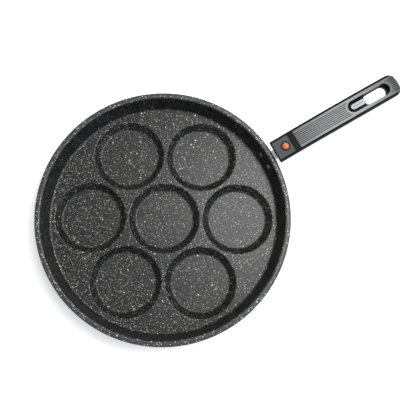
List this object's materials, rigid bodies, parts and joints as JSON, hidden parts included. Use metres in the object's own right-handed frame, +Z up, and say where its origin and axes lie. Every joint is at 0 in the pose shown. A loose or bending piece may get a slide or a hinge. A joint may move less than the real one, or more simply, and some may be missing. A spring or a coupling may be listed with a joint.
{
  "type": "pancake pan",
  "caption": "Round pan with shallow round wells for small pancakes, a riveted steel bracket on its wall, and a detachable ribbed handle that a push button releases.",
  "frame": {"origin": "centre of the pan on the plane that its feet stand on", "axes": "+Z up out of the pan, +X from the pan's centre along the handle, +Y across by the right-hand rule"},
  "size_m": [0.4058, 0.2598, 0.0599],
  "materials": {
    "speckled_coating": "dark grey non-stick coating with fine light speckles, satin, on cast aluminium",
    "bright_steel": "bright rolled steel",
    "black_moulding": "black phenolic moulding, satin",
    "satin_grey": "light grey plastic, satin",
    "dark_grey": "dark grey plastic, matt",
    "orange_button": "orange plastic, semi-gloss"
  },
  "bodies": {
    "pan": {"pan_body": "speckled_coating", "handle_bracket": "bright_steel", "bracket_rivet_left": "speckled_coating", "bracket_rivet_right": "speckled_coating"},
    "handle": {"handle_base": "black_moulding", "grip_panel": "satin_grey", "head_plate": "dark_grey", "socket_sleeve": "bright_steel", "latch_leaf": "bright_steel", "leaf_rivet": "bright_steel", "sleeve_pin": "bright_steel", "hang_slot_spine": "satin_grey", "housing_screw_front": "bright_steel", "housing_screw_rear": "bright_steel"},
    "button": {"release_button": "orange_button"}
  },
  "joints": [
    {"name": "handle_slide", "type": "slide", "parent": "pan", "child": "handle", "axis": [0.9816, 0, 0.1908], "range_m": [0, 0.03], "deforming": ["latch_leaf"]},
    {"name": "button_press", "type": "slide", "parent": "handle", "child": "button", "axis": [0.1908, 0, -0.9816], "range_m": [0, 0.0028], "stiffness_N_per_m": 2500, "springref_m": -0.0006, "deforming": ["latch_leaf"]}
  ]
}
